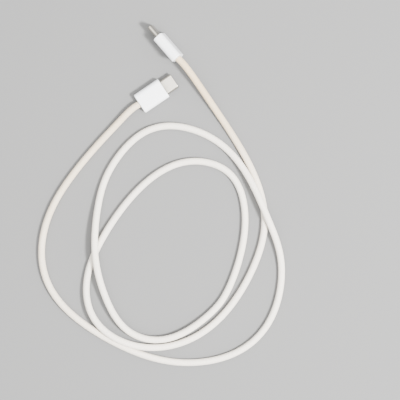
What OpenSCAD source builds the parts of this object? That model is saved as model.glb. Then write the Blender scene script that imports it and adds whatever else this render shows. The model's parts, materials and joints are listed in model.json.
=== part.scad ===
// Charging cable with the same reversible plug on both ends of a woven cord.
// Plug A lies flat on the table, plug B stands on its narrow edge.
// +Z is up, Z = 0 is the table, and the origin is midway between the two plugs.
// Each plug is drawn in its own frame first: X forward out of the boot from the
// boot's rear face, Y across its width, Z through its thickness, on its axis.

/* [Cord] */
// Outer diameter of the woven cord
cord_d = 3.5; // [3.4:0.05:3.5]
// Thickness of the woven sleeve
sleeve_t = 0.3; // [0.25:0.05:0.35]
// Depth of the sleeve's end inside each boot
sleeve_inset = 3.4; // [2.6:0.2:4]
// Depth of the cable core's end inside each boot
core_inset = 5.2; // [5:0.1:5.4]

/* [Boot] */
// Width of the boot
boot_w = 11; // [11:0.1:12]
// Thickness of the boot
boot_t = 5.6; // [5.6:0.1:6]
// Length of the boot
boot_l = 15; // [15:0.1:16]
// Corner radius of the boot's section
boot_r = 2.2; // [1.8:0.1:2.6]
// Thickness of the boot's side walls
boot_wall = 0.8; // [0.6:0.05:0.8]
// Thickness of the boot's rear wall
boot_rear_t = 1.2; // [0.8:0.1:1.4]

/* [Plug shell] */
// Width of the steel plug shell
shell_w = 8.25; // [8.19:0.01:8.31]
// Height of the steel plug shell
shell_h = 2.4; // [2.36:0.01:2.44]
// Length of the plug shell in front of the boot
shell_out = 6.65; // [6.5:0.05:6.8]
// Length of the plug shell inside the boot
shell_in = 2.2; // [2:0.05:2.3]
// Wall of the plug shell
shell_wall = 0.25; // [0.2:0.01:0.25]

/* [Contacts] */
// Distance between neighbouring contacts
pitch = 0.5; // [0.5:0.01:0.5]
// Width of a contact
contact_w = 0.22; // [0.18:0.01:0.22]
// Thickness of the contact strip
contact_t = 0.15; // [0.12:0.01:0.15]
// Width of the slot that takes the socket's tongue
tongue_w = 6.75; // [6.7:0.01:6.8]
// Height of the slot that takes the socket's tongue
tongue_h = 0.82; // [0.78:0.01:0.84]

/* [Latches] */
// Thickness of a latch strip
latch_t = 0.15; // [0.12:0.01:0.15]
// Height of a latch strip
latch_h = 0.7; // [0.6:0.02:0.7]
// How far a latch hook stands in from its strip
hook_in = 0.24; // [0.18:0.01:0.26]

/* [Placement] */
// Direction of the flat plug on the table, in degrees
flat_yaw = 34; // [32:0.5:36]
// Direction of the plug on its edge, in degrees
edge_yaw = 131; // [129:0.5:133]
// Lean of the plug on its edge, in degrees
edge_lean = 9; // [6:0.5:11]
// How far the plug on its edge points down, in degrees
edge_pitch = 7; // [5:0.5:8]

/* [Hidden] */
$fn = 48;
eps = 0.01;
fit_gap = 0.03; // gap all round between two sealed pieces

// Boot cavity and the mould that closes its front
cavity_w = boot_w - 2 * boot_wall;
cavity_t = boot_t - 2 * boot_wall;
cavity_r = boot_r - boot_wall;
mould_x0 = 4.4;

// Cord radii and the crimp ring
cord_r = cord_d / 2;
bore_gap = 0.05;
core_r = cord_r - sleeve_t - bore_gap;
bore_r = cord_r + bore_gap;
ring_x0 = boot_rear_t + 0.3;
ring_x1 = mould_x0 - 0.1;
ring_r = cavity_t / 2 - bore_gap;

// Shield can
can_x0 = 4.6;
can_x1 = 13.8;
can_w = 8.6;
can_h = 3.2;
can_wall = 0.2;
can_split = 0.02;

// Paddle card, its wires and its small parts
card_x0 = 6.4;
card_x1 = 12.6;
card_w = 7.6;
card_t = 0.8;
pad_x = 7.8;
power_r = 0.4;
power_y = 0.45;
power_z = card_t / 2 + power_r;
signal_r = 0.25;
signal_y = 0.6;
signal_z = -card_t / 2 - signal_r;
dome_swell = 1.1; // radius of a solder dome, as a multiple of its wire's
chip = [1, 0.5, 0.5];
chip_x = 9.4;
chip_y = 1;

// Contact housing
shell_x0 = boot_l - shell_in;
shell_x1 = boot_l + shell_out;
housing_w = shell_w - 2 * shell_wall - 0.05;
housing_h = shell_h - 2 * shell_wall - 0.05;
housing_x0 = shell_x0 + 0.1;
housing_x1 = shell_x1 - 0.2;
tongue_x0 = 16;
groove_x0 = 15.2;
groove_x1 = 19.9;
groove_w = contact_w + 0.08;
groove_z = 0.8;
channel_w = contact_w + 0.04;
channel_gap = 0.02;

// Contacts: the tail lies on the card and the beam dips into the tongue's slot
pins = 12;
upper_pins = [1, 4, 5, 6, 7, 9, 12];
lower_pins = [1, 4, 5, 9, 12];
tail_x0 = 11.4;
beam_x0 = 15.4;
touch_x = 19;
touch_half = 0.1;
tip_x = 19.7;
tail_z = card_t / 2;
dip = 0.14;
tip_rise = 0.08;

// Latches: a strip along each side of the tongue's slot, with a hook near its front
latch_x0 = 14.15;
latch_x1 = 20.1;
latch_y = 3.3;
hook_x0 = 18.8;
hook_x1 = 19.8;
hook_flat = 0.1;
pocket_x0 = 14;
pocket_x1 = 20.4;
pocket_y = 3.2;
pocket_h = 0.9;

// Ground springs: a plate over the slot's mouth with fingers through windows
plate_x0 = 20.2;
plate_x1 = 21.1;
plate_w = 6.3;
plate_z = 0.78;
plate_t = 0.12;
recess_z = 0.74;
finger_x = 20.5;
finger_w = 0.8;
finger_t = 0.2;
finger_z = 0.34;
finger_ys = [-2.4, -0.8, 0.8, 2.4];
window_gap = 0.1;

// Places of the two plugs' rear faces on the table
flat_rear = [-9.6, -18];
edge_rear = [10.3, 5.4];
flat_h = boot_t / 2;
edge_half = (boot_w / 2 - boot_r) * cos(edge_lean) + (boot_t / 2 - boot_r) * sin(edge_lean) + boot_r;
edge_h = boot_l * sin(edge_pitch) + edge_half * cos(edge_pitch);

// Route of the cord's centre, from plug A's rear face to plug B's. Each crossing
// is a long low hump of the strand that passes over the other one.
exit_a = 6;
exit_b = 9;
exit_drop_a = 0.1;
exit_drop_b = 0.9;
lie = cord_r;
route = [
    [-23, -30, 2], [-35, -43, lie], [-51, -64, lie], [-60, -86, lie], [-59, -108, lie],
    [-45, -128, lie], [-18, -145, lie], [11, -153, lie], [40, -148, lie], [59, -129, lie],
    [64, -101, 2], [57, -78, 5.5], [48, -58, 5], [34, -40, 2], [13, -30, lie],
    [-8, -33, lie], [-24, -50, lie], [-31, -69, 2.5], [-33, -94, 5.5], [-28, -117, 4.5],
    [-16, -136, 3.5], [6, -140, 3], [27, -127, 2], [36, -115, lie], [42, -99, lie],
    [45, -76, lie], [37, -54, lie], [14, -48, lie], [-9, -61, lie], [-27, -84, lie],
    [-37, -107, lie], [-35, -127, 4], [-22, -140, 5], [-3, -145, 3], [18, -140, lie],
    [37, -124, lie], [51, -99, lie], [55, -74, lie], [46, -47, lie], [29, -20, 3]
];
sides = 8;
rings_per_point = 2;
refinements = 4;

// Point on a plug's axis, x in front of its rear face
function on_axis(rear, yaw, pitch, h, x) = [
    rear.x + x * cos(pitch) * cos(yaw), rear.y + x * cos(pitch) * sin(yaw), h - x * sin(pitch)
];
function on_flat(x, drop = 0) = on_axis(flat_rear, flat_yaw, 0, flat_h - drop, x);
function on_edge(x, drop = 0) = on_axis(edge_rear, edge_yaw, edge_pitch, edge_h - drop, x);

// Control points, refined until the smooth curve runs through the route's points
function refined(p, c) = [
    for (i = [0:len(p) - 1])
        (i == 0 || i == len(p) - 1) ? p[i] : p[i] - (c[i - 1] - 2 * c[i] + c[i + 1]) / 6
];
function controls(p, n) = n == 0 ? p : refined(p, controls(p, n - 1));
function with_ends(c) = concat(
    [2 * c[0] - c[1]], c, [2 * c[len(c) - 1] - c[len(c) - 2]]
);
function curve_point(c, i, t) = (
    pow(1 - t, 3) * c[i - 1] + (3 * pow(t, 3) - 6 * t * t + 4) * c[i]
    + (-3 * pow(t, 3) + 3 * t * t + 3 * t + 1) * c[i + 1] + pow(t, 3) * c[i + 2]
) / 6;
function above_table(q) = [q.x, q.y, max(q.z, cord_r)];
function curve(c) = concat(
    [for (i = [1:len(c) - 3], k = [0:rings_per_point - 1])
        above_table(curve_point(c, i, k / rings_per_point))],
    [above_table(curve_point(c, len(c) - 3, 1))]
);

// Ring of points round the centre line, and the faces between rings
function unit(v) = v / norm(v);
function ring(p, along, r) = let (
    side = unit(cross([0, 0, 1], along)),
    up = cross(along, side)
) [for (j = [0:sides - 1]) p + r * (cos(360 * j / sides) * side + sin(360 * j / sides) * up)];
function heading(path, i) = unit(
    path[min(i + 1, len(path) - 1)] - path[max(i - 1, 0)]
);
function skin_points(path, r) = [
    for (i = [0:len(path) - 1]) each ring(path[i], heading(path, i), r)
];
function quad(a, b, c, d, outward) = outward ? [[a, b, c], [a, c, d]] : [[a, c, b], [a, d, c]];
function skin_faces(n, start, outward) = [
    for (i = [0:n - 2], j = [0:sides - 1])
        let (k = (j + 1) % sides, a = start + i * sides, b = a + sides)
        each quad(a + j, b + j, b + k, a + k, outward)
];
function cap_faces(start, outward) = [
    for (j = [1:sides - 2])
        outward ? [start, start + j + 1, start + j] : [start, start + j, start + j + 1]
];
function rim_faces(outer, inner, outward) = [
    for (j = [0:sides - 1])
        let (k = (j + 1) % sides)
        each quad(outer + j, outer + k, inner + k, inner + j, outward)
];

sleeve_path = concat(
    [on_flat(sleeve_inset)],
    curve(with_ends(controls(concat(
        [on_flat(0)],
        [on_flat(-exit_a, exit_drop_a)],
        route,
        [on_edge(-exit_b, exit_drop_b)],
        [on_edge(0)]
    ), refinements))),
    [on_edge(sleeve_inset)]
);
core_path = concat(
    [on_flat(core_inset)],
    sleeve_path,
    [on_edge(core_inset)]
);

// Basic shapes
module along_x(x0, x1) {
    translate([x0, 0, 0]) rotate([90, 0, 90]) linear_extrude(x1 - x0) children();
}

module rounded(w, h, r) {
    square([w - 2 * r, h], center = true);
    square([w, h - 2 * r], center = true);
    for (sx = [-1, 1], sy = [-1, 1])
        translate([sx * (w / 2 - r), sy * (h / 2 - r)]) circle(r);
}

module stadium(w, h) {
    square([w - h, h], center = true);
    for (sx = [-1, 1]) translate([sx * (w - h) / 2, 0]) circle(h / 2);
}

module block(x0, x1, y0, y1, z0, z1) {
    translate([x0, y0, z0]) cube([x1 - x0, y1 - y0, z1 - z0]);
}

module rod(from, to, r) {
    run = to - from;
    translate(from) rotate([0, acos(run.z / norm(run)), atan2(run.y, run.x)])
        cylinder(r = r, h = norm(run));
}

// A wire from the core's end face to its pad, lying on one face of the card
module wire(y, z, r) {
    rod([core_inset, y, z], [pad_x, y, z], r);
}

// Placing a plug on the table
module flat_plug() {
    translate([flat_rear.x, flat_rear.y, flat_h]) rotate([0, 0, flat_yaw]) children();
}

module edge_plug() {
    translate([edge_rear.x, edge_rear.y, edge_h]) rotate([0, edge_pitch, edge_yaw])
        rotate([90 - edge_lean, 0, 0]) children();
}

// Cord
module woven_sleeve() {
    n = len(sleeve_path);
    inner = n * sides;
    color("ivory") polyhedron(
        points = concat(
            skin_points(sleeve_path, cord_r),
            skin_points(sleeve_path, cord_r - sleeve_t)
        ),
        faces = concat(
            skin_faces(n, 0, true), skin_faces(n, inner, false),
            rim_faces(0, inner, true),
            rim_faces((n - 1) * sides, inner + (n - 1) * sides, false)
        ),
        convexity = 10
    );
}

module cable_core() {
    n = len(core_path);
    color("dimgray") polyhedron(
        points = skin_points(core_path, core_r),
        faces = concat(
            skin_faces(n, 0, true), cap_faces(0, false), cap_faces((n - 1) * sides, true)
        ),
        convexity = 10
    );
}

// Pieces of a plug
module boot() {
    color("white") difference() {
        along_x(0, boot_l) rounded(boot_w, boot_t, boot_r);
        along_x(boot_rear_t, boot_l + 1) rounded(cavity_w, cavity_t, cavity_r);
        rod([-1, 0, 0], [boot_rear_t + 1, 0, 0], bore_r);
    }
}

module inner_mould() {
    color("whitesmoke") difference() {
        along_x(mould_x0, boot_l)
            rounded(cavity_w - 2 * fit_gap, cavity_t - 2 * fit_gap, cavity_r - fit_gap);
        block(
            mould_x0 - 1, can_x1 + fit_gap, -can_w / 2 - fit_gap, can_w / 2 + fit_gap,
            -can_h / 2 - fit_gap, can_h / 2 + fit_gap
        );
        along_x(can_x1, boot_l + 1) stadium(shell_w + 2 * fit_gap, shell_h + 2 * fit_gap);
    }
}

module plug_shell() {
    color("silver") difference() {
        along_x(shell_x0, shell_x1) stadium(shell_w, shell_h);
        along_x(shell_x0 - 1, shell_x1 + 1)
            stadium(shell_w - 2 * shell_wall, shell_h - 2 * shell_wall);
    }
}

module contact_housing() {
    color("black") difference() {
        along_x(housing_x0, housing_x1) stadium(housing_w, housing_h);
        block(
            tongue_x0, shell_x1, -tongue_w / 2, tongue_w / 2, -tongue_h / 2, tongue_h / 2
        );
        for (pin = [1:pins]) {
            y = pin_y(pin);
            block(groove_x0, groove_x1, y - groove_w / 2, y + groove_w / 2, -groove_z, groove_z);
            for (side = [0, 1]) mirror([0, 0, side]) block(
                shell_x0, groove_x0 + eps, y - channel_w / 2, y + channel_w / 2,
                tail_z - channel_gap, tail_z + contact_t + channel_gap
            );
        }
        for (side = [0, 1]) {
            mirror([0, side, 0]) block(
                pocket_x0, pocket_x1, pocket_y, shell_w / 2, -pocket_h / 2, pocket_h / 2
            );
            mirror([0, 0, side]) ground_recess();
        }
    }
}

module ground_recess() {
    half_w = plate_w / 2 + fit_gap;
    block(plate_x0 - fit_gap, plate_x1 + fit_gap, -half_w, half_w, recess_z, shell_h / 2);
    for (y = finger_ys) block(
        finger_x - finger_t / 2 - window_gap, finger_x + finger_t / 2 + window_gap,
        y - finger_w / 2 - window_gap, y + finger_w / 2 + window_gap, 0, recess_z + eps
    );
}

function pin_y(pin) = (pin - (pins + 1) / 2) * pitch;

module contact_row(list) {
    color("gold") for (pin = list) translate([0, pin_y(pin), 0]) rotate([90, 0, 0])
        linear_extrude(contact_w, center = true) polygon([
            [tail_x0, tail_z], [beam_x0, tail_z], [touch_x - touch_half, tail_z - dip],
            [touch_x + touch_half, tail_z - dip], [tip_x, tail_z + tip_rise],
            [tip_x, tail_z + tip_rise + contact_t], [touch_x, tail_z - dip + contact_t],
            [beam_x0, tail_z + contact_t], [tail_x0, tail_z + contact_t]
        ]);
}

module upper_contacts() {
    contact_row(upper_pins);
}

module lower_contacts() {
    mirror([0, 0, 1]) contact_row(lower_pins);
}

module left_latch() {
    color("lightgray") linear_extrude(latch_h, center = true) polygon([
        [latch_x0, latch_y], [hook_x0, latch_y],
        [(hook_x0 + hook_x1) / 2 - hook_flat, latch_y - hook_in],
        [(hook_x0 + hook_x1) / 2 + hook_flat, latch_y - hook_in],
        [hook_x1, latch_y], [latch_x1, latch_y],
        [latch_x1, latch_y + latch_t], [latch_x0, latch_y + latch_t]
    ]);
}

module right_latch() {
    mirror([0, 1, 0]) left_latch();
}

module upper_ground_spring() {
    color("lightgray") {
        block(plate_x0, plate_x1, -plate_w / 2, plate_w / 2, plate_z, plate_z + plate_t);
        for (y = finger_ys) block(
            finger_x - finger_t / 2, finger_x + finger_t / 2,
            y - finger_w / 2, y + finger_w / 2, finger_z, plate_z + eps
        );
    }
}

module lower_ground_spring() {
    mirror([0, 0, 1]) upper_ground_spring();
}

module upper_shield() {
    half_w = can_w / 2;
    color("silver") difference() {
        block(can_x0, can_x1, -half_w, half_w, can_split / 2, can_h / 2);
        block(
            can_x0 + can_wall, can_x1 - can_wall, -half_w + can_wall, half_w - can_wall,
            -1, can_h / 2 - can_wall
        );
        rod([can_x0 - 1, 0, 0], [can_x0 + 1, 0, 0], core_r + bore_gap);
        along_x(can_x1 - 1, can_x1 + 1) stadium(shell_w + 2 * fit_gap, shell_h + 2 * fit_gap);
    }
}

module lower_shield() {
    mirror([0, 0, 1]) upper_shield();
}

module paddle_card() {
    color("darkgreen")
        block(card_x0, card_x1, -card_w / 2, card_w / 2, -card_t / 2, card_t / 2);
}

module capacitors() {
    color("tan") for (y = [-chip_y, chip_y])
        translate([chip_x, y - chip.y / 2, card_t / 2]) cube(chip);
}

// A dome of solder on the card in front of a wire's cut end
module solder_dome(y, r) {
    intersection() {
        translate([pad_x + r / 2, y, card_t / 2]) sphere(r * dome_swell);
        block(pad_x, pad_x + 2 * r, y - 2 * r, y + 2 * r, card_t / 2, card_t / 2 + 2 * r);
    }
}

module solder_joints() {
    color("gray") {
        for (y = [-power_y, power_y]) solder_dome(y, power_r);
        for (y = [-signal_y, 0, signal_y]) mirror([0, 0, 1]) solder_dome(y, signal_r);
    }
}

module power_wire() {
    color("red") wire(power_y, power_z, power_r);
}

module ground_wire() {
    color("black") wire(-power_y, power_z, power_r);
}

module data_wires() {
    color("green") for (side = [-1, 1]) wire(side * signal_y, signal_z, signal_r);
}

module configuration_wire() {
    color("blue") wire(0, signal_z, signal_r);
}

module crimp_ring() {
    color("silver") difference() {
        rod([ring_x0, 0, 0], [ring_x1, 0, 0], ring_r);
        rod([ring_x0 - 1, 0, 0], [ring_x1 + 1, 0, 0], bore_r);
    }
}

woven_sleeve();
cable_core();

flat_plug() boot();  // boot_a
flat_plug() inner_mould();  // inner_mould_a
flat_plug() plug_shell();  // plug_shell_a
flat_plug() contact_housing();  // contact_housing_a
flat_plug() upper_contacts();  // upper_contacts_a
flat_plug() lower_contacts();  // lower_contacts_a
flat_plug() left_latch();  // left_latch_a
flat_plug() right_latch();  // right_latch_a
flat_plug() upper_ground_spring();  // upper_ground_spring_a
flat_plug() lower_ground_spring();  // lower_ground_spring_a
flat_plug() upper_shield();  // upper_shield_a
flat_plug() lower_shield();  // lower_shield_a
flat_plug() paddle_card();  // paddle_card_a
flat_plug() capacitors();  // capacitors_a
flat_plug() solder_joints();  // solder_joints_a
flat_plug() power_wire();  // power_wire_a
flat_plug() ground_wire();  // ground_wire_a
flat_plug() data_wires();  // data_wires_a
flat_plug() configuration_wire();  // configuration_wire_a
flat_plug() crimp_ring();  // crimp_ring_a

edge_plug() boot();  // boot_b
edge_plug() inner_mould();  // inner_mould_b
edge_plug() plug_shell();  // plug_shell_b
edge_plug() contact_housing();  // contact_housing_b
edge_plug() upper_contacts();  // upper_contacts_b
edge_plug() lower_contacts();  // lower_contacts_b
edge_plug() left_latch();  // left_latch_b
edge_plug() right_latch();  // right_latch_b
edge_plug() upper_ground_spring();  // upper_ground_spring_b
edge_plug() lower_ground_spring();  // lower_ground_spring_b
edge_plug() upper_shield();  // upper_shield_b
edge_plug() lower_shield();  // lower_shield_b
edge_plug() paddle_card();  // paddle_card_b
edge_plug() capacitors();  // capacitors_b
edge_plug() solder_joints();  // solder_joints_b
edge_plug() power_wire();  // power_wire_b
edge_plug() ground_wire();  // ground_wire_b
edge_plug() data_wires();  // data_wires_b
edge_plug() configuration_wire();  // configuration_wire_b
edge_plug() crimp_ring();  // crimp_ring_b
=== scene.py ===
"""Looks of a charging cable: a woven cord in loose loops with the same plug on both ends.

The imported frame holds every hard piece. This script replaces the plain cord and the plugs'
outer shells with finer meshes, gives every piece its finish, and sets a soft studio round them.
All lengths are in metres, in the frame's own axes.
"""

import json
import logging
import math
from dataclasses import dataclass, field
from enum import Enum
from typing import ClassVar

import bpy
import numpy as np
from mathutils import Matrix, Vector


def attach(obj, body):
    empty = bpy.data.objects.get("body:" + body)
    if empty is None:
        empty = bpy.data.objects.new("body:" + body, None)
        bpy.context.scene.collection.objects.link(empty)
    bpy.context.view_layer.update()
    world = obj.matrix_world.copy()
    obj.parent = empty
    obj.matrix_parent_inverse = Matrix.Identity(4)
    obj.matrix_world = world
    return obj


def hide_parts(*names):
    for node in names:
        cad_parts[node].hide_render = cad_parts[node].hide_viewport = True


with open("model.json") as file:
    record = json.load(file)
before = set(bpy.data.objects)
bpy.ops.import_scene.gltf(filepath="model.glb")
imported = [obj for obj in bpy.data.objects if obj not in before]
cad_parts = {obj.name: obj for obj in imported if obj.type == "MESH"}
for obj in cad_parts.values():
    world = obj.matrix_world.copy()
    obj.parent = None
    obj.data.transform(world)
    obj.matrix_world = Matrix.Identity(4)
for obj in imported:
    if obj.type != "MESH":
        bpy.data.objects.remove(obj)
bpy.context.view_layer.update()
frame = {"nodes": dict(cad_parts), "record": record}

LOG = logging.getLogger("charging_cable")
MM = 0.001
# Height of the cord's centre where it lies on the floor
LIE = 0.00175
Colour = tuple[float, float, float]
Point = tuple[float, float, float]


class Finish(Enum):
    """The finishes that the pieces wear, named as in the record's material slots."""

    CORD_WEAVE = "cord_weave"
    CORE_RUBBER = "core_rubber"
    BOOT_PLASTIC = "boot_plastic"
    MOULD_PLASTIC = "mould_plastic"
    SHELL_STEEL = "shell_steel"
    HOUSING_PLASTIC = "housing_plastic"
    CONTACT_GOLD = "contact_gold"
    SPRING_STEEL = "spring_steel"
    SHIELD_STEEL = "shield_steel"
    CARD_LAMINATE = "card_laminate"
    CERAMIC = "ceramic"
    SOLDER = "solder"
    RED_INSULATION = "red_insulation"
    BLACK_INSULATION = "black_insulation"
    GREEN_INSULATION = "green_insulation"
    BLUE_INSULATION = "blue_insulation"


# ---------------------------------------------------------------------------
# Shader building
# ---------------------------------------------------------------------------


class NodeSheet:
    """A node tree with short ways to add and join its nodes."""

    def __init__(self, tree: bpy.types.NodeTree) -> None:
        """Keeps the tree.

        Args:
            tree: the material's or the group's node tree.
        """
        self.tree = tree

    def add(self, kind: str, **settings: object) -> bpy.types.Node:
        """Adds one node.

        Args:
            kind: the node's type name.
            settings: properties to set on the node.

        Returns:
            The new node.
        """
        node = self.tree.nodes.new(kind)
        for name, value in settings.items():
            setattr(node, name, value)
        return node

    def feed(self, target: bpy.types.NodeSocket, value: object) -> None:
        """Joins a socket to the target, or sets the target's own value.

        Args:
            target: the input socket.
            value: an output socket, a number or a colour.
        """
        if isinstance(value, bpy.types.NodeSocket):
            self.tree.links.new(value, target)
        else:
            target.default_value = value

    def math(self, operation: str, *values: object, clamp: bool = False) -> bpy.types.NodeSocket:
        """Adds a Math node.

        Args:
            operation: the operation's name.
            values: one to three sockets or numbers.
            clamp: whether the result is kept from 0 to 1.

        Returns:
            The result's socket.
        """
        node = self.add("ShaderNodeMath", operation=operation, use_clamp=clamp)
        for socket, value in zip(node.inputs, values):
            self.feed(socket, value)
        return node.outputs[0]

    def blend(self, factor: object, low: object, high: object) -> bpy.types.NodeSocket:
        """Mixes two colours.

        Args:
            factor: 0 gives low and 1 gives high.
            low: a colour or a socket.
            high: a colour or a socket.

        Returns:
            The mixed colour's socket.
        """
        node = self.add("ShaderNodeMix", data_type="RGBA")
        self.feed(node.inputs[0], factor)
        self.feed(node.inputs[6], low)
        self.feed(node.inputs[7], high)
        return node.outputs[2]

    def lift(self, wave: bpy.types.NodeSocket) -> bpy.types.NodeSocket:
        """Moves a wave that runs from -1 to 1 so that it runs from 0 to 1."""
        return self.math("MULTIPLY_ADD", wave, 0.5, 0.5)

    def span(self, value: object, low: float, high: float) -> bpy.types.NodeSocket:
        """Spreads a value from 0 to 1 over the numbers low to high.

        Args:
            value: a socket that runs from 0 to 1.
            low: the result where value is 0.
            high: the result where value is 1.

        Returns:
            The result's socket.
        """
        return self.math("MULTIPLY_ADD", value, high - low, low)


def rgba(colour: Colour) -> tuple[float, float, float, float]:
    """Returns the colour with full opacity."""
    return (*colour, 1.0)


class ShaderGroups:
    """The shader node groups that several finishes share, each built once."""

    def __init__(self) -> None:
        """Builds every group."""
        self.grain = self._grain()
        self.braid = self._braid()
        self.wear = self._wear()

    @staticmethod
    def _open(
        name: str, inputs: dict[str, tuple[str, object]], outputs: dict[str, str]
    ) -> tuple[NodeSheet, bpy.types.Node, bpy.types.Node]:
        """Starts a group.

        Args:
            name: the group's name.
            inputs: input name to its socket type and its default.
            outputs: output name to its socket type.

        Returns:
            The group's sheet, its input node and its output node.
        """
        tree = bpy.data.node_groups.new(name, "ShaderNodeTree")
        for label, (kind, default) in inputs.items():
            socket = tree.interface.new_socket(name=label, in_out="INPUT", socket_type=kind)
            if default is not None:
                socket.default_value = default
        for label, kind in outputs.items():
            tree.interface.new_socket(name=label, in_out="OUTPUT", socket_type=kind)
        sheet = NodeSheet(tree)
        return sheet, sheet.add("NodeGroupInput"), sheet.add("NodeGroupOutput")

    def _grain(self) -> bpy.types.NodeTree:
        """Fine grain over broad mottling.

        Returns:
            The group, with outputs Height and Mottle from 0 to 1.
        """
        sheet, source, result = self._open(
            "surface_grain",
            {
                "Grain Scale": ("NodeSocketFloat", 4000.0),
                "Mottle Scale": ("NodeSocketFloat", 200.0),
            },
            {"Height": "NodeSocketFloat", "Mottle": "NodeSocketFloat"},
        )
        place = sheet.add("ShaderNodeTexCoord")
        for scale, detail, output in (("Grain Scale", 2.0, "Height"), ("Mottle Scale", 4.0, "Mottle")):
            noise = sheet.add("ShaderNodeTexNoise")
            sheet.feed(noise.inputs["Vector"], place.outputs["Object"])
            sheet.feed(noise.inputs["Scale"], source.outputs[scale])
            sheet.feed(noise.inputs["Detail"], detail)
            sheet.feed(result.inputs[output], noise.outputs["Fac"])
        return sheet.tree

    def _braid(self, filament_share: float = 0.25) -> bpy.types.NodeTree:
        """Yarns that cross at alternate slants, one row of crowns after another.

        Args:
            filament_share: how much of the height the filaments make; the crowns make the rest.

        Returns:
            The group, with outputs Crown, Filament and Height from 0 to 1.
        """
        sheet, source, result = self._open(
            "braid",
            {"Cells": ("NodeSocketVector", None), "Filaments": ("NodeSocketFloat", 4.0)},
            {"Crown": "NodeSocketFloat", "Filament": "NodeSocketFloat", "Height": "NodeSocketFloat"},
        )
        split = sheet.add("ShaderNodeSeparateXYZ")
        sheet.feed(split.inputs[0], source.outputs["Cells"])
        along, around = split.outputs["X"], split.outputs["Y"]
        along_wave = sheet.math("COSINE", sheet.math("MULTIPLY", along, math.tau))
        around_wave = sheet.math("COSINE", sheet.math("MULTIPLY", around, math.tau))
        crown = sheet.lift(sheet.math("MULTIPLY", along_wave, around_wave))
        slant = sheet.math("MULTIPLY", sheet.math("SIGN", along_wave), around)
        lines = sheet.math("MULTIPLY", sheet.math("ADD", along, slant), source.outputs["Filaments"])
        filament = sheet.lift(sheet.math("SINE", sheet.math("MULTIPLY", lines, math.tau)))
        crowns = sheet.math("MULTIPLY", crown, 1 - filament_share)
        height = sheet.math("MULTIPLY_ADD", filament, filament_share, crowns)
        for label, socket in (("Crown", crown), ("Filament", filament), ("Height", height)):
            sheet.feed(result.inputs[label], socket)
        return sheet.tree

    def _wear(self) -> bpy.types.NodeTree:
        """A mask on the outer edges, broken up by noise.

        Returns:
            The group, with output Edge from 0 to 1.
        """
        sheet, source, result = self._open(
            "edge_wear",
            {
                "Onset": ("NodeSocketFloat", 0.52),
                "Gain": ("NodeSocketFloat", 12.0),
                "Patchiness": ("NodeSocketFloat", 900.0),
            },
            {"Edge": "NodeSocketFloat"},
        )
        shape = sheet.add("ShaderNodeNewGeometry")
        place = sheet.add("ShaderNodeTexCoord")
        noise = sheet.add("ShaderNodeTexNoise")
        sheet.feed(noise.inputs["Vector"], place.outputs["Object"])
        sheet.feed(noise.inputs["Scale"], source.outputs["Patchiness"])
        above = sheet.math("SUBTRACT", shape.outputs["Pointiness"], source.outputs["Onset"])
        edge = sheet.math("MULTIPLY", above, source.outputs["Gain"], clamp=True)
        sheet.feed(result.inputs["Edge"], sheet.math("MULTIPLY", edge, noise.outputs["Fac"]))
        return sheet.tree


class Painter:
    """A material being made, with its Principled shader and its sheet of nodes."""

    def __init__(self, name: str) -> None:
        """Starts an empty material.

        Args:
            name: the material's name.
        """
        self.material = bpy.data.materials.new(name)
        self.material.use_nodes = True
        self.sheet = NodeSheet(self.material.node_tree)
        self.shader = self.material.node_tree.nodes["Principled BSDF"]

    def group(self, tree: bpy.types.NodeTree, **values: object) -> bpy.types.Node:
        """Places a shared group.

        Args:
            tree: the group.
            values: input name, with _ for a space, to a socket or a value.

        Returns:
            The group's node.
        """
        node = self.sheet.add("ShaderNodeGroup", node_tree=tree)
        for name, value in values.items():
            self.sheet.feed(node.inputs[name.replace("_", " ")], value)
        return node

    def set(self, **values: object) -> None:
        """Sets or feeds the shader's inputs.

        Args:
            values: input name, with _ for a space, to a socket or a value.
        """
        for name, value in values.items():
            self.sheet.feed(self.shader.inputs[name.replace("_", " ")], value)

    def bump(self, height: bpy.types.NodeSocket, distance: float, strength: float) -> None:
        """Feeds the shader's normal from a height.

        Args:
            height: a socket that runs from 0 to 1.
            distance: the height's real size, in metres.
            strength: how much of it shows.
        """
        node = self.sheet.add("ShaderNodeBump")
        node.inputs["Strength"].default_value = strength
        node.inputs["Distance"].default_value = distance
        self.sheet.feed(node.inputs["Height"], height)
        self.sheet.feed(self.shader.inputs["Normal"], node.outputs["Normal"])


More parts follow.
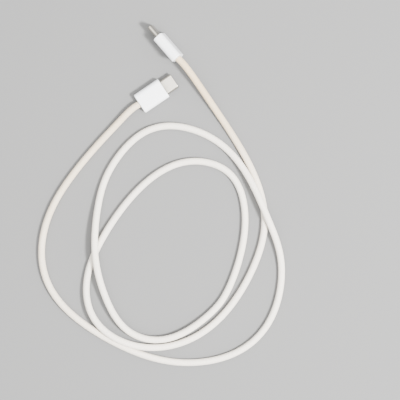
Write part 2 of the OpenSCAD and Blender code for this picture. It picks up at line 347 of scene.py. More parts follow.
@dataclass(frozen=True)
class WovenTextile:
    """The cord's braided textile sleeve, off-white and soiled by hands near the plugs, with painted shade
    between its yarns.

    Attributes:
        clean: the yarn's colour away from the plugs.
        soiled: its colour where it is fully soiled.
        weave_shade: painted shade between the yarns, the colour that the yarn is darkened towards.
        roughness: its lowest and highest roughness.
        soil_mottle: how much the mottling lowers and raises the soiling.
        valley_shade: how much of the painted shade shows deep between the yarns.
        filament_shade: how much of the painted shade shows between the filaments.
    """

    clean: Colour = (0.82, 0.775, 0.70)
    soiled: Colour = (0.66, 0.495, 0.28)
    weave_shade: Colour = (0.47, 0.43, 0.37)
    roughness: tuple[float, float] = (0.74, 0.96)
    soil_mottle: tuple[float, float] = (0.65, 1.35)
    valley_shade: float = 0.55
    filament_shade: float = 0.12
    filaments: float = 4.0
    grain_scale: float = 9000.0
    mottle_scale: float = 120.0
    sheen: float = 0.25
    sheen_roughness: float = 0.5
    specular: float = 0.25
    relief: float = 0.05 * MM
    relief_strength: float = 0.9

    def material(self, name: str, groups: ShaderGroups) -> bpy.types.Material:
        """Builds the material.

        Args:
            name: the material's name.
            groups: the shared shader groups.

        Returns:
            The finished material.
        """
        painter = Painter(name)
        sheet = painter.sheet
        cells = sheet.add("ShaderNodeUVMap", uv_map=WovenCord.cell_map)
        braid = painter.group(groups.braid, Cells=cells.outputs["UV"], Filaments=self.filaments)
        grain = painter.group(
            groups.grain, Grain_Scale=self.grain_scale, Mottle_Scale=self.mottle_scale
        )
        soil = sheet.add("ShaderNodeAttribute", attribute_name=WovenCord.soil_name)
        mottle = sheet.span(grain.outputs["Mottle"], *self.soil_mottle)
        soiling = sheet.math("MULTIPLY", soil.outputs["Fac"], mottle, clamp=True)
        yarn = sheet.blend(soiling, rgba(self.clean), rgba(self.soiled))
        # Painted shade: the yarn is darkened towards weave_shade in the dips between the braid's crowns and
        # in the gaps between its filaments.
        depth = sheet.math("SUBTRACT", 1.0, braid.outputs["Crown"])
        shade = sheet.math("MULTIPLY", sheet.math("POWER", depth, 2.0), self.valley_shade)
        tone = sheet.blend(shade, yarn, rgba(self.weave_shade))
        gaps = sheet.math("SUBTRACT", 1.0, braid.outputs["Filament"])
        lines = sheet.math("MULTIPLY", gaps, self.filament_shade)
        painter.set(Base_Color=sheet.blend(lines, tone, rgba(self.weave_shade)))
        painter.set(Roughness=sheet.span(grain.outputs["Height"], *self.roughness))
        painter.set(Sheen_Weight=self.sheen, Sheen_Roughness=self.sheen_roughness)
        painter.set(Specular_IOR_Level=self.specular)
        painter.bump(braid.outputs["Height"], self.relief, self.relief_strength)
        return painter.material


@dataclass(frozen=True)
class MouldedPlastic:
    """Injection-moulded plastic with a fine grain, rubbed and faintly soiled at its edges.

    Attributes:
        worn: its colour where it is rubbed or soiled.
        haze: how much of the worn colour the mottling lays over all of it.
        edge_soiling: how much of the worn colour its edges take.
        smoother: how far the mottling lowers the roughness.
        rougher: how far the mottling raises it.
    """

    colour: Colour
    worn: Colour
    roughness: float
    coat: float = 0.0
    coat_roughness: float = 0.18
    grain_scale: float = 9000.0
    mottle_scale: float = 260.0
    grain_depth: float = 0.004 * MM
    grain_strength: float = 0.5
    haze: float = 0.10
    edge_soiling: float = 0.35
    smoother: float = 0.06
    rougher: float = 0.08

    def material(self, name: str, groups: ShaderGroups) -> bpy.types.Material:
        """Builds the material.

        Args:
            name: the material's name.
            groups: the shared shader groups.

        Returns:
            The finished material.
        """
        painter = Painter(name)
        sheet = painter.sheet
        grain = painter.group(
            groups.grain, Grain_Scale=self.grain_scale, Mottle_Scale=self.mottle_scale
        )
        wear = painter.group(groups.wear)
        haze = sheet.math("MULTIPLY", grain.outputs["Mottle"], self.haze)
        body = sheet.blend(haze, rgba(self.colour), rgba(self.worn))
        edge = sheet.math("MULTIPLY", wear.outputs["Edge"], self.edge_soiling)
        painter.set(Base_Color=sheet.blend(edge, body, rgba(self.worn)))
        low, high = self.roughness - self.smoother, self.roughness + self.rougher
        painter.set(Roughness=sheet.span(grain.outputs["Mottle"], low, high))
        painter.set(Coat_Weight=self.coat, Coat_Roughness=self.coat_roughness)
        painter.bump(grain.outputs["Height"], self.grain_depth, self.grain_strength)
        return painter.material


@dataclass(frozen=True)
class PlatedMetal:
    """Plated sheet metal with a fine grain, and a darker band where it is rubbed: a rougher stain together
    with painted contact shade.

    Attributes:
        stain_and_shade: its colour in that band, stain together with painted shade, and the tone that the
            mottling lays over it.
        haze: how much of the stain_and_shade colour the mottling lays over all of it.
        stain_and_shade_mottle: how much the mottling lowers and raises the band of stain and painted shade.
        stain_roughness: how much rougher the stain is.
        smoother: how far the mottling lowers the roughness.
        rougher: how far the mottling raises it.
    """

    colour: Colour
    stain_and_shade: Colour
    roughness: float
    grain_scale: float = 5200.0
    mottle_scale: float = 420.0
    grain_depth: float = 0.002 * MM
    grain_strength: float = 0.35
    haze: float = 0.18
    stain_and_shade_mottle: tuple[float, float] = (0.5, 1.4)
    stain_roughness: float = 0.22
    smoother: float = 0.06
    rougher: float = 0.10

    def material(self, name: str, groups: ShaderGroups) -> bpy.types.Material:
        """Builds the material.

        Args:
            name: the material's name.
            groups: the shared shader groups.

        Returns:
            The finished material.
        """
        painter = Painter(name)
        sheet = painter.sheet
        grain = painter.group(
            groups.grain, Grain_Scale=self.grain_scale, Mottle_Scale=self.mottle_scale
        )
        # Painted shade with a real stain: the stain_and_shade attribute darkens the plate towards the
        # stain_and_shade colour, and makes it rougher.
        stain_and_shade = sheet.add("ShaderNodeAttribute", attribute_name=PlugShell.stain_and_shade_name)
        broken = sheet.span(grain.outputs["Mottle"], *self.stain_and_shade_mottle)
        stained_and_shaded = sheet.math("MULTIPLY", stain_and_shade.outputs["Fac"], broken, clamp=True)
        haze = sheet.math("MULTIPLY", grain.outputs["Mottle"], self.haze)
        plate = sheet.blend(haze, rgba(self.colour), rgba(self.stain_and_shade))
        painter.set(Base_Color=sheet.blend(stained_and_shaded, plate, rgba(self.stain_and_shade)), Metallic=1.0)
        low, high = self.roughness - self.smoother, self.roughness + self.rougher
        rough = sheet.span(grain.outputs["Mottle"], low, high)
        painter.set(Roughness=sheet.math("MULTIPLY_ADD", stained_and_shaded, self.stain_roughness, rough))
        painter.bump(grain.outputs["Height"], self.grain_depth, self.grain_strength)
        return painter.material


FINISHES: dict[Finish, WovenTextile | MouldedPlastic | PlatedMetal] = {
    Finish.CORD_WEAVE: WovenTextile(),
    Finish.CORE_RUBBER: MouldedPlastic((0.30, 0.30, 0.30), worn=(0.2, 0.2, 0.2), roughness=0.7),
    Finish.BOOT_PLASTIC: MouldedPlastic(
        (0.875, 0.885, 0.90), worn=(0.74, 0.72, 0.68), roughness=0.30, coat=0.25
    ),
    Finish.MOULD_PLASTIC: MouldedPlastic((0.82, 0.83, 0.84), worn=(0.66, 0.64, 0.60), roughness=0.42),
    Finish.HOUSING_PLASTIC: MouldedPlastic((0.022, 0.022, 0.024), worn=(0.07, 0.07, 0.07), roughness=0.5),
    Finish.CARD_LAMINATE: MouldedPlastic((0.03, 0.20, 0.09), worn=(0.10, 0.26, 0.12), roughness=0.35),
    Finish.CERAMIC: MouldedPlastic((0.50, 0.38, 0.25), worn=(0.62, 0.52, 0.4), roughness=0.5),
    Finish.RED_INSULATION: MouldedPlastic((0.55, 0.03, 0.03), worn=(0.4, 0.05, 0.05), roughness=0.45),
    Finish.BLACK_INSULATION: MouldedPlastic((0.02, 0.02, 0.02), worn=(0.06, 0.06, 0.06), roughness=0.45),
    Finish.GREEN_INSULATION: MouldedPlastic((0.03, 0.32, 0.08), worn=(0.06, 0.26, 0.1), roughness=0.45),
    Finish.BLUE_INSULATION: MouldedPlastic((0.03, 0.08, 0.42), worn=(0.06, 0.1, 0.32), roughness=0.45),
    Finish.SHELL_STEEL: PlatedMetal((0.42, 0.395, 0.345), stain_and_shade=(0.19, 0.175, 0.15), roughness=0.20),
    Finish.CONTACT_GOLD: PlatedMetal((0.87, 0.64, 0.28), stain_and_shade=(0.5, 0.34, 0.14), roughness=0.24),
    Finish.SPRING_STEEL: PlatedMetal((0.66, 0.66, 0.66), stain_and_shade=(0.4, 0.4, 0.4), roughness=0.3),
    Finish.SHIELD_STEEL: PlatedMetal((0.68, 0.68, 0.68), stain_and_shade=(0.42, 0.42, 0.42), roughness=0.36),
    Finish.SOLDER: PlatedMetal((0.62, 0.62, 0.64), stain_and_shade=(0.4, 0.4, 0.4), roughness=0.32),
}


class Workshop:
    """Holds the finished materials and dresses pieces with them."""

    def __init__(self) -> None:
        """Builds the shared groups and keeps an empty store of materials."""
        self.groups = ShaderGroups()
        self.store: dict[Finish, bpy.types.Material] = {}

    def material(self, finish: Finish) -> bpy.types.Material:
        """Returns the finish's material, made the first time it is asked for."""
        if finish not in self.store:
            self.store[finish] = FINISHES[finish].material(finish.value, self.groups)
        return self.store[finish]

    def dress(self, piece: bpy.types.Object, finish: Finish) -> None:
        """Gives a piece one material.

        Args:
            piece: a mesh object.
            finish: the finish that it wears.
        """
        piece.data.materials.clear()
        piece.data.materials.append(self.material(finish))

    def dress_nodes(self) -> None:
        """Gives every piece of the frame the finish that the record names for it."""
        for row in frame["record"]["subparts"]:
            self.dress(frame["nodes"][row["node"]], Finish(row["material_slot"]))


# ---------------------------------------------------------------------------
# Meshes
# ---------------------------------------------------------------------------


def link_mesh(name: str, points: np.ndarray, faces: list[tuple[int, ...]]) -> bpy.types.Object:
    """Makes a smooth-shaded mesh object.

    Args:
        name: the object's name.
        points: an array of points, one row each.
        faces: point numbers of each face, anticlockwise from outside.

    Returns:
        The linked object.
    """
    mesh = bpy.data.meshes.new(name)
    mesh.from_pydata(points.tolist(), [], faces)
    mesh.polygons.foreach_set("use_smooth", np.ones(len(mesh.polygons), bool))
    mesh.update()
    piece = bpy.data.objects.new(name, mesh)
    bpy.context.scene.collection.objects.link(piece)
    return piece


def tube_faces(rings: int, sides: int) -> list[tuple[int, ...]]:
    """Faces between rings of points, each ring anticlockwise seen from the far end.

    Args:
        rings: the number of rings.
        sides: the number of points in a ring.

    Returns:
        One quad for each side of each gap between rings.
    """
    faces = []
    for ring in range(0, (rings - 1) * sides, sides):
        for side in range(sides):
            near, beside = ring + side, ring + (side + 1) % sides
            faces.append((near, beside, beside + sides, near + sides))
    return faces


def rounded_loop(
    width: float, height: float, radius: float, corner: int = 14, side: int = 10
) -> np.ndarray:
    """Points round a rounded rectangle, anticlockwise from its right side.

    Args:
        width: the size along the first axis.
        height: the size along the second axis.
        radius: the corners' radius.
        corner: steps round each corner.
        side: steps along each side.

    Returns:
        One row of two numbers for each point.
    """
    x, y = width / 2 - radius, height / 2 - radius
    centres = ((x, y), (-x, y), (-x, -y), (x, -y))
    points: list[tuple[float, float]] = []
    for turn, (cx, cy) in enumerate(centres):
        for step in range(corner + 1):
            angle = math.pi / 2 * (turn + step / corner)
            points.append((cx + radius * math.cos(angle), cy + radius * math.sin(angle)))
        nx, ny = centres[(turn + 1) % 4]
        angle = math.pi / 2 * (turn + 1)
        start = np.array((cx + radius * math.cos(angle), cy + radius * math.sin(angle)))
        end = np.array((nx + radius * math.cos(angle), ny + radius * math.sin(angle)))
        points += [tuple(start + (end - start) * k / side) for k in range(1, side)]
    return np.array(points)


def quarter_steps(count: int) -> list[float]:
    """Returns angles from 0 to a right angle in equal steps."""
    return [math.pi / 2 * k / count for k in range(count + 1)]


@dataclass(frozen=True)
class PlugPlace:
    """Where a plug lies: the centre of its rear face, and its three axes."""

    origin: Vector
    forward: Vector
    across: Vector
    through: Vector

    @classmethod
    def from_record(cls, end: str, length: float, shell_out: float) -> "PlugPlace":
        """Works the place out from the record's two mounts on the plug.

        Args:
            end: "a" or "b".
            length: from the boot's rear face to the plug shell's front.
            shell_out: length of the plug shell in front of the boot.

        Returns:
            The plug's place.
        """
        mounts = {m["name"]: m for m in frame["record"]["mounts"]}
        tip = mounts[f"plug_{end}_mating_end"]
        front = Vector(tip["pos_m"])
        forward = Vector(tip["axis"]).normalized()
        through = (Vector(mounts[f"stop_face_{end}"]["pos_m"]) - front + forward * shell_out).normalized()
        return cls(front - forward * length, forward, through.cross(forward), through)

    def place(self, points: np.ndarray) -> np.ndarray:
        """Returns points given in the plug's own frame, moved to the model's."""
        turn = np.array((self.forward, self.across, self.through))
        return points @ turn + np.array(self.origin)


@dataclass(frozen=True)
class SoilBand:
    """How soiled the cord is near one plug.

    Attributes:
        strength: the soiling at the plug, from 0 to 1.
        reach: the distance from the plug at which it is half as strong.
        fade: how gently it fades there.
    """

    strength: float
    reach: float
    fade: float

    def level(self, run: np.ndarray) -> np.ndarray:
        """Returns the soiling at each distance from the plug."""
        return self.strength / (1 + np.exp((run - self.reach) / self.fade))


@dataclass
class WovenCord:
    """The cord: a braided sleeve over its core, on one smooth curve from plug to plug.

    The route is the same as the frame's. It leaves each boot along the plug's axis.

    Attributes:
        length: its length between the two boots; not used.
        sleeve_inset: how far the sleeve reaches into each boot.
        core_inset: how far the core reaches into each boot.
        exit_start: how far it runs straight on from the first plug.
        exit_finish: how far it runs straight on to the last plug.
        drop_start: how far it has sagged at the end of the first straight run.
        drop_finish: how far it has sagged at the start of the last one.
        rings: rings of points along the sleeve, half a braid cell apart.
        sides: points in one of its rings, half a braid cell apart.
        crown: half the depth between the yarns.
        route: the points between the two straight runs.
    """

    cell_map: ClassVar[str] = "braid_cells"
    soil_name: ClassVar[str] = "soil"

    start: PlugPlace
    finish: PlugPlace
    length: float = 1.0
    diameter: float = 3.5 * MM
    core_diameter: float = 2.8 * MM
    sleeve_inset: float = 3.4 * MM
    core_inset: float = 5.2 * MM
    exit_start: float = 6.0 * MM
    exit_finish: float = 9.0 * MM
    drop_start: float = 0.1 * MM
    drop_finish: float = 0.9 * MM
    rings: int = 3120
    sides: int = 32
    core_rings: int = 780
    core_sides: int = 16
    crown: float = 0.035 * MM
    soil_start: SoilBand = SoilBand(strength=0.60, reach=120.0 * MM, fade=30.0 * MM)
    soil_finish: SoilBand = SoilBand(strength=0.95, reach=65.0 * MM, fade=15.0 * MM)
    soil_everywhere: float = 0.08
    route: list[Point] = field(
        default_factory=lambda: [
            (-0.023, -0.030, 0.002), (-0.035, -0.043, LIE), (-0.051, -0.064, LIE),
            (-0.060, -0.086, LIE), (-0.059, -0.108, LIE), (-0.045, -0.128, LIE),
            (-0.018, -0.145, LIE), (0.011, -0.153, LIE), (0.040, -0.148, LIE),
            (0.059, -0.129, LIE), (0.064, -0.101, 0.002), (0.057, -0.078, 0.0055),
            (0.048, -0.058, 0.005), (0.034, -0.040, 0.002), (0.013, -0.030, LIE),
            (-0.008, -0.033, LIE), (-0.024, -0.050, LIE), (-0.031, -0.069, 0.0025),
            (-0.033, -0.094, 0.0055), (-0.028, -0.117, 0.0045), (-0.016, -0.136, 0.0035),
            (0.006, -0.140, 0.003), (0.027, -0.127, 0.002), (0.036, -0.115, LIE),
            (0.042, -0.099, LIE), (0.045, -0.076, LIE), (0.037, -0.054, LIE),
            (0.014, -0.048, LIE), (-0.009, -0.061, LIE), (-0.027, -0.084, LIE),
            (-0.037, -0.107, LIE), (-0.035, -0.127, 0.004), (-0.022, -0.140, 0.005),
            (-0.003, -0.145, 0.003), (0.018, -0.140, LIE), (0.037, -0.124, LIE),
            (0.051, -0.099, LIE), (0.055, -0.074, LIE), (0.046, -0.047, LIE),
            (0.029, -0.020, 0.003),
        ]
    )

    def _controls(self, points: np.ndarray, refinements: int = 4) -> np.ndarray:
        """Refines control points until the curve runs through the given ones.

        Args:
            points: the points that the curve runs through.
            refinements: how many times the controls are refined.

        Returns:
            The control points, with one more beyond each end.
        """
        controls = points.copy()
        for _ in range(refinements):
            bend = controls[:-2] - 2 * controls[1:-1] + controls[2:]
            controls[1:-1] = points[1:-1] - bend / 6
        first, last = 2 * controls[0] - controls[1], 2 * controls[-1] - controls[-2]
        return np.vstack((first, controls, last))

    def _free_line(self, steps: int = 48) -> np.ndarray:
        """The cord's centre between the two boots' rear faces, finely stepped.

        Args:
            steps: points on each stretch of the curve.

        Returns:
            The points in order, none lower than the cord's radius.
        """
        up = np.array((0.0, 0.0, 1.0))
        start, finish = np.array(self.start.origin), np.array(self.finish.origin)
        leave = start - self.exit_start * np.array(self.start.forward) - self.drop_start * up
        arrive = finish - self.exit_finish * np.array(self.finish.forward) - self.drop_finish * up
        controls = self._controls(np.vstack((start, leave, np.array(self.route), arrive, finish)))
        t = np.linspace(0, 1, steps, endpoint=False)[:, None]
        weights = ((1 - t) ** 3, 3 * t**3 - 6 * t**2 + 4, -3 * t**3 + 3 * t**2 + 3 * t + 1, t**3)
        stretches = [
            sum(w * controls[i + k] for k, w in enumerate(weights)) / 6
            for i in range(len(controls) - 3)
        ]
        line = np.vstack((*stretches, finish))
        line[:, 2] = np.maximum(line[:, 2], self.diameter / 2)
        return line

    def line(self, inset: float, count: int) -> np.ndarray:
        """The cord's centre from inside one boot to inside the other, evenly spaced.

        Args:
            inset: how far it reaches into each boot.
            count: the number of points.

        Returns:
            The points in order.
        """
        first = np.array(self.start.origin + inset * self.start.forward)
        last = np.array(self.finish.origin + inset * self.finish.forward)
        whole = np.vstack((first, self._free_line(), last))
        run = np.concatenate(([0.0], np.cumsum(np.linalg.norm(np.diff(whole, axis=0), axis=1))))
        places = np.linspace(0, run[-1], count)
        return np.column_stack([np.interp(places, run, whole[:, k]) for k in range(3)])

    @staticmethod
    def _rings(line: np.ndarray, radii: np.ndarray) -> np.ndarray:
        """Rings of points round a line.

        Args:
            line: the centres of the rings.
            radii: one row for each ring, with one radius for each side.

        Returns:
            The points, ring after ring.
        """
        along = np.gradient(line, axis=0)
        along /= np.linalg.norm(along, axis=1)[:, None]
        side = np.cross(np.array((0.0, 0.0, 1.0)), along)
        side /= np.linalg.norm(side, axis=1)[:, None]
        up = np.cross(along, side)
        angles = np.arange(radii.shape[1]) / radii.shape[1] * math.tau
        ring = (
            np.cos(angles)[None, :, None] * side[:, None, :]
            + np.sin(angles)[None, :, None] * up[:, None, :]
        )
        return (line[:, None, :] + radii[:, :, None] * ring).reshape(-1, 3)

    @staticmethod
    def _ends(rings: int, sides: int) -> list[tuple[int, ...]]:
        """Returns the two flat faces that close a tube."""
        last = (rings - 1) * sides
        return [tuple(reversed(range(sides))), tuple(range(last, last + sides))]

    def build(self, workshop: Workshop) -> bpy.types.Object:
        """Args:
            workshop: dresses the pieces.

        Returns:
            The sleeve's object.
        """
        core = self._build_core(workshop)
        line = self.line(self.sleeve_inset, self.rings)
        ring, side = np.indices((self.rings, self.sides))
        bumps = np.where((ring + side) % 2 == 0, 0.0, -2 * self.crown)
        points = self._rings(line, self.diameter / 2 + bumps)
        faces = tube_faces(self.rings, self.sides) + self._ends(self.rings, self.sides)
        sleeve = link_mesh("woven_cord", points, faces)
        self._lay_cells(sleeve)
        self._lay_soil(sleeve, line)
        workshop.dress(sleeve, Finish.CORD_WEAVE)
        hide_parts("woven_sleeve")
        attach(sleeve, "cable")
        measured = float(np.linalg.norm(np.diff(line, axis=0), axis=1).sum())
        LOG.info("woven_cord: %.1f mm long, %d faces", measured / MM, len(faces))
        return sleeve

    def _build_core(self, workshop: Workshop) -> bpy.types.Object:
        """Builds the core inside the sleeve.

        Args:
            workshop: dresses the piece.

        Returns:
            The core's object.
        """
        rings, sides = self.core_rings, self.core_sides
        line = self.line(self.core_inset, rings)
        points = self._rings(line, np.full((rings, sides), self.core_diameter / 2))
        core = link_mesh("cord_core", points, tube_faces(rings, sides) + self._ends(rings, sides))
        workshop.dress(core, Finish.CORE_RUBBER)
        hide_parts("cable_core")
        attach(core, "cable")
        LOG.info("cord_core: %d faces", len(core.data.polygons))
        return core

    def _lay_cells(self, sleeve: bpy.types.Object) -> None:
        """Lays the map that counts braid cells, each two rings long and two sides wide.

        Args:
            sleeve: the sleeve's object.
        """
        layer = sleeve.data.uv_layers.new(name=self.cell_map)
        ring, side = np.indices((self.rings - 1, self.sides))
        corners = np.stack(
            (
                np.stack((ring, side), -1),
                np.stack((ring, side + 1), -1),
                np.stack((ring + 1, side + 1), -1),
                np.stack((ring + 1, side), -1),
            ),
            axis=2,
        )
        cells = np.zeros((len(sleeve.data.loops), 2), np.float32)
        cells[: corners.size // 2] = corners.reshape(-1, 2) / 2
        layer.data.foreach_set("uv", cells.ravel())

    def _lay_soil(self, sleeve: bpy.types.Object, line: np.ndarray) -> None:
        """Lays the soiling, which fades away from each plug.

        Args:
            sleeve: the sleeve's object.
            line: the centres of its rings.
        """
        run = np.concatenate(([0.0], np.cumsum(np.linalg.norm(np.diff(line, axis=0), axis=1))))
        soil = self.soil_everywhere + self.soil_start.level(run) + self.soil_finish.level(run[-1] - run)
        soil = np.clip(soil, 0, 1)
        layer = sleeve.data.attributes.new(self.soil_name, "FLOAT", "POINT")
        layer.data.foreach_set("value", np.repeat(soil, self.sides).astype(np.float32))


@dataclass
class PlugBoot:
    """A plug's white boot: a rounded sleeve with a softened rim at each end.

    Attributes:
        radius: the radius of its long edges.
        rim_rear: how far its rear rim is rounded.
        rim_front: how far its front rim is rounded.
        lip: how far the inner edge of its mouth is rounded.
        bore: the radius of the cord's hole.
        mouth_depth: how far the mesh reaches into the mouth.
        least_radius: the smallest radius of a section's corners.
    """

    width: float = 11.0 * MM
    thickness: float = 5.6 * MM
    length: float = 15.0 * MM
    radius: float = 2.2 * MM
    wall: float = 0.8 * MM
    rim_rear: float = 0.5 * MM
    rim_front: float = 0.4 * MM
    lip: float = 0.08 * MM
    bore: float = 1.8 * MM
    rear_wall: float = 1.2 * MM
    mouth_depth: float = 1.2 * MM
    least_radius: float = 0.2 * MM
    stretches: int = 8
    rim_steps: int = 8
    lip_steps: int = 4

    def _ring(self, x: float, inset: float) -> np.ndarray:
        """Returns the boot's section, moved in by inset, at x along the plug."""
        radius = max(self.radius - inset, self.least_radius)
        loop = rounded_loop(self.width - 2 * inset, self.thickness - 2 * inset, radius)
        return np.column_stack((np.full(len(loop), x), loop))

    def _bore_ring(self, x: float, radius: float) -> np.ndarray:
        """Returns a round section with as many points as the boot's, at x along the plug."""
        loop = rounded_loop(self.width, self.thickness, self.radius)
        loop *= (radius / np.linalg.norm(loop, axis=1))[:, None]
        return np.column_stack((np.full(len(loop), x), loop))

    def profile(self) -> list[np.ndarray]:
        """Returns the sections in order, from inside the bore, round the outside, to inside the mouth."""
        rings = [self._bore_ring(self.rear_wall, self.bore), self._bore_ring(2 * self.lip, self.bore)]
        rings += [
            self._bore_ring(2 * self.lip * (1 - math.sin(a)), self.bore + 2 * self.lip * (1 - math.cos(a)))
            for a in quarter_steps(self.lip_steps)[1:]
        ]
        rings += [
            self._ring(self.rim_rear * (1 - math.cos(a)), self.rim_rear * (1 - math.sin(a)))
            for a in quarter_steps(self.rim_steps)
        ]
        rings += [self._ring(self.length * k / self.stretches, 0.0) for k in range(1, self.stretches)]
        rings += [
            self._ring(
                self.length - self.rim_front * (1 - math.sin(a)), self.rim_front * (1 - math.cos(a))
            )
            for a in quarter_steps(self.rim_steps)
        ]
        rings += [
            self._ring(self.length - self.lip * (1 - math.cos(a)), self.wall - self.lip * (1 - math.sin(a)))
            for a in quarter_steps(self.lip_steps)
        ]
        rings.append(self._ring(self.length - self.mouth_depth, self.wall))
        return rings

    def build(self, end: str, place: PlugPlace, workshop: Workshop) -> bpy.types.Object:
        """Builds the boot.

        Args:
            end: "a" or "b".
            place: where the plug lies.
            workshop: dresses the piece.

        Returns:
            The boot's object.
        """
        rings = self.profile()
        sides = len(rings[0])
        points = place.place(np.vstack(rings))
        piece = link_mesh(f"outer_boot_{end}", points, tube_faces(len(rings), sides))
        workshop.dress(piece, Finish.BOOT_PLASTIC)
        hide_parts(f"boot_{end}")
        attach(piece, "cable")
        LOG.info("outer_boot_%s: %d faces", end, len(piece.data.polygons))
        return piece


@dataclass
class PlugShell:
    """A plug's drawn steel shell: a flat oval tube with a rounded front rim.

    Attributes:
        front: where its front end is, from the boot's rear face.
        root: where its hidden end is.
        boot_front: where it leaves the boot.
        stain_and_shade_reach: how far the band of stain and painted contact shade reaches out of the boot.
        side_roundness: how near to a half circle each side is.
    """

    stain_and_shade_name: ClassVar[str] = "stain_and_shade"

    width: float = 8.25 * MM
    height: float = 2.4 * MM
    wall: float = 0.25 * MM
    front: float = 21.65 * MM
    root: float = 12.8 * MM
    boot_front: float = 15.0 * MM
    stain_and_shade_reach: float = 1.1 * MM
    side_roundness: float = 0.999
    corner_steps: int = 16
    rim_steps: int = 5
    stretches: int = 12

    def _ring(self, x: float, inset: float) -> np.ndarray:
        """Returns the shell's section, moved in by inset, at x along the plug."""
        height = self.height - 2 * inset
        radius = height / 2 * self.side_roundness
        loop = rounded_loop(self.width - 2 * inset, height, radius, corner=self.corner_steps)
        return np.column_stack((np.full(len(loop), x), loop))

    def profile(self) -> list[np.ndarray]:
        """Returns the sections in order, from the root, over the outside and back down the inside."""
        rim = self.wall / 2
        length = self.front - rim - self.root
        count = self.stretches
        rings = [self._ring(self.root + length * k / count, 0.0) for k in range(count)]
        rings += [
            self._ring(self.front - rim * (1 - math.sin(a)), rim * (1 - math.cos(a)))
            for a in quarter_steps(self.rim_steps)
        ]
        rings += [
            self._ring(self.front - rim * (1 - math.cos(a)), 2 * rim - rim * (1 - math.sin(a)))
            for a in quarter_steps(self.rim_steps)[1:]
        ]
        inner_front = self.front - rim
        rings += [self._ring(inner_front - length * k / count, self.wall) for k in range(1, count + 1)]
        return rings

    def build(self, end: str, place: PlugPlace, workshop: Workshop) -> bpy.types.Object:
        """Builds the shell.

        Args:
            end: "a" or "b".
            place: where the plug lies.
            workshop: dresses the piece.

        Returns:
            The shell's object.
        """
        rings = self.profile()
        sides = len(rings[0])
        own = np.vstack(rings)
        faces = tube_faces(len(rings) + 1, sides)
        total = len(rings) * sides
        faces = [tuple(k % total for k in face) for face in faces]
        piece = link_mesh(f"steel_shell_{end}", place.place(own), faces)
        # Painted contact shade with stain: full where the shell is in the boot, fading along the shell past
        # the boot's front.
        stain_and_shade = np.exp(-np.maximum(own[:, 0] - self.boot_front, 0) / self.stain_and_shade_reach)
        layer = piece.data.attributes.new(self.stain_and_shade_name, "FLOAT", "POINT")
        layer.data.foreach_set("value", stain_and_shade.astype(np.float32))
        workshop.dress(piece, Finish.SHELL_STEEL)
        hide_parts(f"plug_shell_{end}")
        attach(piece, "cable")
        LOG.info("steel_shell_%s: %d faces", end, len(piece.data.polygons))
        return piece


@dataclass
class Plug:
    """One end of the cable: the boot and the steel shell over the frame's inner pieces."""

    end: str
    boot: PlugBoot = field(default_factory=PlugBoot)
    shell: PlugShell = field(default_factory=PlugShell)

    @property
    def place(self) -> PlugPlace:
        """Where the plug lies."""
        shell_out = self.shell.front - self.shell.boot_front
        return PlugPlace.from_record(self.end, self.shell.front, shell_out)

    def build(self, workshop: Workshop) -> None:
        """Builds the plug's two outer pieces.

        Args:
            workshop: dresses the pieces.
        """
        self.boot.build(self.end, self.place, workshop)
        self.shell.build(self.end, self.place, workshop)


# ---------------------------------------------------------------------------
# Studio
# ---------------------------------------------------------------------------


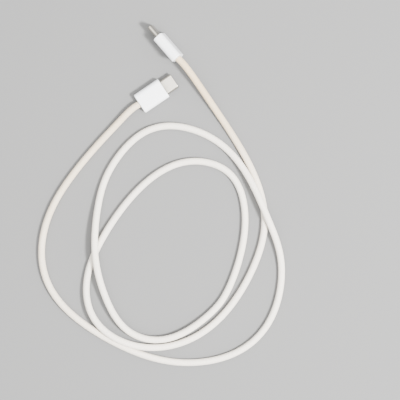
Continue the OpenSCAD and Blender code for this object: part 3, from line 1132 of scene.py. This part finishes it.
@dataclass
class Studio:
    """A plain pale floor, soft light from the right, and a camera almost straight above.

    Attributes:
        target: the point of the floor that the camera looks at.
        view_width: how much of the floor the view takes in, from side to side.
        tilt: how far the camera leans back from straight down, in degrees.
        sky_falloff: how fast the sky darkens towards the horizon.
        side_level: its brightness straight above, as a share.
        side_gain: how much brighter it is on the right than above.
        overhead_gain: how much brighter its top is.
        overhead_onset: the height at which that brighter top begins.
        overhead_full: the height at which it is full.
    """

    target: tuple[float, float] = (0.0216, -0.0679)
    view_width: float = 0.2084
    distance: float = 0.8
    tilt: float = 3.9
    sensor_width: float = 36.0
    clip_start: float = 0.01
    floor_size: float = 3.0
    floor_colour: Colour = (0.15, 0.15, 0.148)
    floor_roughness: float = 0.9
    key_azimuth: float = -17.0
    key_elevation: float = 60.0
    key_distance: float = 0.9
    key_size: float = 0.16
    key_power: float = 34.0
    sky_strength: float = 4.0
    sky_falloff: float = 0.7
    side_level: float = 0.75
    side_gain: float = 0.25
    overhead_gain: float = 1.6
    overhead_onset: float = 0.90
    overhead_full: float = 0.95
    sky_bright: Colour = (1.0, 0.995, 0.985)
    sky_dim: Colour = (0.12, 0.124, 0.13)

    def add_camera(self) -> bpy.types.Object:
        """Adds the camera and makes it the scene's.

        Returns:
            The camera's object.
        """
        data = bpy.data.cameras.new("camera")
        data.sensor_width = self.sensor_width
        data.lens = data.sensor_width * self.distance / self.view_width
        data.clip_start = self.clip_start
        camera = bpy.data.objects.new("camera", data)
        tilt = math.radians(self.tilt)
        back = Vector((0.0, math.sin(tilt), math.cos(tilt)))
        camera.location = Vector((*self.target, 0.0)) + self.distance * back
        camera.rotation_euler = (-tilt, 0.0, 0.0)
        bpy.context.scene.collection.objects.link(camera)
        bpy.context.scene.camera = camera
        return camera

    def add_floor(self) -> None:
        """Adds the floor under the object."""
        half = self.floor_size / 2
        corners = np.array([(-half, -half, 0.0), (half, -half, 0.0), (half, half, 0.0), (-half, half, 0.0)])
        floor = link_mesh("floor", corners, [(0, 1, 2, 3)])
        painter = Painter("floor_paper")
        painter.set(Base_Color=rgba(self.floor_colour), Roughness=self.floor_roughness)
        floor.data.materials.append(painter.material)

    def add_lights(self) -> None:
        """Adds the key light and the pale sky."""
        azimuth, elevation = math.radians(self.key_azimuth), math.radians(self.key_elevation)
        level = math.cos(elevation)
        way = Vector((level * math.cos(azimuth), level * math.sin(azimuth), math.sin(elevation)))
        data = bpy.data.lights.new("key", "AREA")
        data.shape = "DISK"
        data.size = self.key_size
        data.energy = self.key_power
        key = bpy.data.objects.new("key", data)
        centre = Vector((*self.target, 0.0))
        key.location = centre + way * self.key_distance
        key.rotation_euler = way.to_track_quat("Z", "Y").to_euler()
        bpy.context.scene.collection.objects.link(key)
        self._add_sky()

    def _add_sky(self) -> None:
        """Adds a pale sky, brightest overhead, that darkens towards the left and the horizon."""
        world = bpy.data.worlds.new("sky")
        world.use_nodes = True
        sheet = NodeSheet(world.node_tree)
        background = world.node_tree.nodes["Background"]
        place = sheet.add("ShaderNodeTexCoord")
        split = sheet.add("ShaderNodeSeparateXYZ")
        sheet.feed(split.inputs[0], place.outputs["Generated"])
        above = sheet.math("MAXIMUM", split.outputs["Z"], 0.0)
        height = sheet.math("POWER", above, self.sky_falloff)
        side = sheet.math(
            "MULTIPLY_ADD", split.outputs["X"], self.side_gain, self.side_level, clamp=True
        )
        rise = sheet.math("MULTIPLY", height, side)
        colour = sheet.blend(rise, rgba(self.sky_dim), rgba(self.sky_bright))
        sheet.feed(background.inputs["Color"], colour)
        past = sheet.math("SUBTRACT", split.outputs["Z"], self.overhead_onset)
        band = self.overhead_full - self.overhead_onset
        overhead = sheet.math("DIVIDE", past, band, clamp=True)
        gain = sheet.math("MULTIPLY_ADD", overhead, self.overhead_gain, 1.0)
        sheet.feed(background.inputs["Strength"], sheet.math("MULTIPLY", gain, self.sky_strength))
        bpy.context.scene.world = world


def main() -> None:
    """Builds the camera, the cord, the plugs and the studio, and reports each piece."""
    logging.basicConfig(level=logging.INFO, format="%(name)s: %(message)s")
    studio = Studio()
    studio.add_camera()
    workshop = Workshop()
    workshop.dress_nodes()
    plugs = [Plug("a"), Plug("b")]
    WovenCord(start=plugs[0].place, finish=plugs[1].place).build(workshop)
    for plug in plugs:
        plug.build(workshop)
    studio.add_floor()
    studio.add_lights()


if __name__ == "__main__":
    main()
